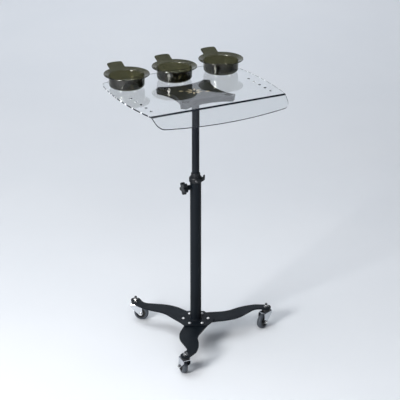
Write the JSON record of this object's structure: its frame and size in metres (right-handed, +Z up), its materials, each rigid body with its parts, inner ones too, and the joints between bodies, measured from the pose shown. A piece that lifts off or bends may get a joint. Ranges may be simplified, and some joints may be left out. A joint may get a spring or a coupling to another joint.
{
  "type": "instrument cart",
  "caption": "Height-adjustable rolling instrument cart: clear tray with a turned-down front lip and round bowls, on a telescopic column with curved flat legs and swivel casters.",
  "frame": {"origin": "on the floor, under the axis of the column", "axes": "+Z up along the column, -Y towards the tray's turned-down lip (the user's side), +X to the user's right"},
  "size_m": [0.5496, 0.5041, 0.9717],
  "materials": {
    "frame_paint": "satin black powder coat",
    "tube_paint": "satin black powder coat",
    "bracket_paint": "black textured powder coat",
    "bolt_steel": "bright zinc",
    "dark_steel": "dark oiled steel",
    "black_plastic": "moulded, satin",
    "knob_plastic": "moulded, fine grain",
    "nylon": "natural nylon",
    "clear_tape": "clear adhesive gel",
    "clear_acrylic": "polished clear sheet",
    "zinc_nut": "bright zinc",
    "cup_black": "black oxide",
    "fork_chrome": "bright chrome plate",
    "wheel_core": "moulded, satin",
    "tyre_rubber": "dark grey soft tread",
    "bowl_smoke": "smoked olive, glossy",
    "clear_feet": "clear soft feet"
  },
  "bodies": {
    "base": {"hub_plate": "frame_paint", "leg_front": "frame_paint", "leg_right": "frame_paint", "leg_left": "frame_paint", "hub_bolts": "bolt_steel", "hub_nuts": "dark_steel", "outer_tube": "frame_paint", "knob_boss": "frame_paint", "collar_bush": "black_plastic", "collar_band": "black_plastic", "band_screw": "dark_steel", "side_hook": "black_plastic", "stem_front": "dark_steel", "stem_nut_front": "zinc_nut", "bearing_cup_front": "cup_black", "bearing_balls_front": "dark_steel", "stem_right": "dark_steel", "stem_nut_right": "zinc_nut", "bearing_cup_right": "cup_black", "bearing_balls_right": "dark_steel", "stem_left": "dark_steel", "stem_nut_left": "zinc_nut", "bearing_cup_left": "cup_black", "bearing_balls_left": "dark_steel"},
    "guide": {"guide_bush": "nylon"},
    "upper_column": {"inner_tube": "tube_paint", "bush_ring": "dark_steel", "bracket": "bracket_paint", "bond_pads": "clear_tape", "tray": "clear_acrylic"},
    "pad": {"clamp_pad": "nylon"},
    "knob": {"star_knob": "knob_plastic", "clamp_screw": "dark_steel"},
    "fork_front": {"fork_front": "fork_chrome", "axle_bolt_front": "zinc_nut", "axle_nut_front": "zinc_nut"},
    "wheel_front": {"wheel_core_front": "wheel_core", "tyre_front": "tyre_rubber"},
    "fork_right": {"fork_right": "fork_chrome", "axle_bolt_right": "zinc_nut", "axle_nut_right": "zinc_nut"},
    "wheel_right": {"wheel_core_right": "wheel_core", "tyre_right": "tyre_rubber"},
    "fork_left": {"fork_left": "fork_chrome", "axle_bolt_left": "zinc_nut", "axle_nut_left": "zinc_nut"},
    "wheel_left": {"wheel_core_left": "wheel_core", "tyre_left": "tyre_rubber"},
    "bowl_left": {"bowl_left": "bowl_smoke", "bowl_feet_left": "clear_feet"},
    "bowl_middle": {"bowl_middle": "bowl_smoke", "bowl_feet_middle": "clear_feet"},
    "bowl_right": {"bowl_right": "bowl_smoke", "bowl_feet_right": "clear_feet"}
  },
  "joints": [
    {"name": "height_slide", "type": "slide", "parent": "base", "child": "guide", "axis": [0, 0, 1], "range_m": [-0.245, 0.15]},
    {"name": "column_turn", "type": "hinge", "parent": "guide", "child": "upper_column", "pos_m": [0, 0, 0.394], "axis": [0, 0, 1], "continuous": true},
    {"name": "clamp_pad_travel", "type": "slide", "parent": "base", "child": "pad", "axis": [-0.9994, 0.0349, 0], "range_m": [0, 0.0025]},
    {"name": "knob_turn", "type": "hinge", "parent": "pad", "child": "knob", "pos_m": [-0.04397, 0.00154, 0.574], "axis": [-0.9994, 0.0349, 0], "range_deg": [0, 720]},
    {"name": "front_caster_swivel", "type": "hinge", "parent": "base", "child": "fork_front", "pos_m": [-0.15679, -0.21981, 0.062], "axis": [0, 0, 1], "continuous": true},
    {"name": "front_wheel_roll", "type": "hinge", "parent": "fork_front", "child": "wheel_front", "pos_m": [-0.1546, -0.19893, 0.026], "axis": [-0.9945, 0.1045, 0], "continuous": true},
    {"name": "right_caster_swivel", "type": "hinge", "parent": "base", "child": "fork_right", "pos_m": [0.26876, -0.02588, 0.062], "axis": [0, 0, 1], "continuous": true},
    {"name": "right_wheel_roll", "type": "hinge", "parent": "fork_right", "child": "wheel_right", "pos_m": [0.24957, -0.03442, 0.026], "axis": [0.4067, -0.9135, 0], "continuous": true},
    {"name": "left_caster_swivel", "type": "hinge", "parent": "base", "child": "fork_left", "pos_m": [-0.11197, 0.24569, 0.062], "axis": [0, 0, 1], "continuous": true},
    {"name": "left_wheel_roll", "type": "hinge", "parent": "fork_left", "child": "wheel_left", "pos_m": [-0.09636, 0.23164, 0.026], "axis": [0.6691, 0.7431, 0], "continuous": true},
    {"name": "left_bowl_lift", "type": "slide", "parent": "upper_column", "child": "bowl_left", "axis": [0, 0, 1], "range_m": [0, 0.12]},
    {"name": "middle_bowl_lift", "type": "slide", "parent": "upper_column", "child": "bowl_middle", "axis": [0, 0, 1], "range_m": [0, 0.12]},
    {"name": "right_bowl_lift", "type": "slide", "parent": "upper_column", "child": "bowl_right", "axis": [0, 0, 1], "range_m": [0, 0.12]}
  ],
  "couplings": [
    {"joint": "clamp_pad_travel", "follows": "knob_turn", "m_per_rad": 0.0001989}
  ]
}
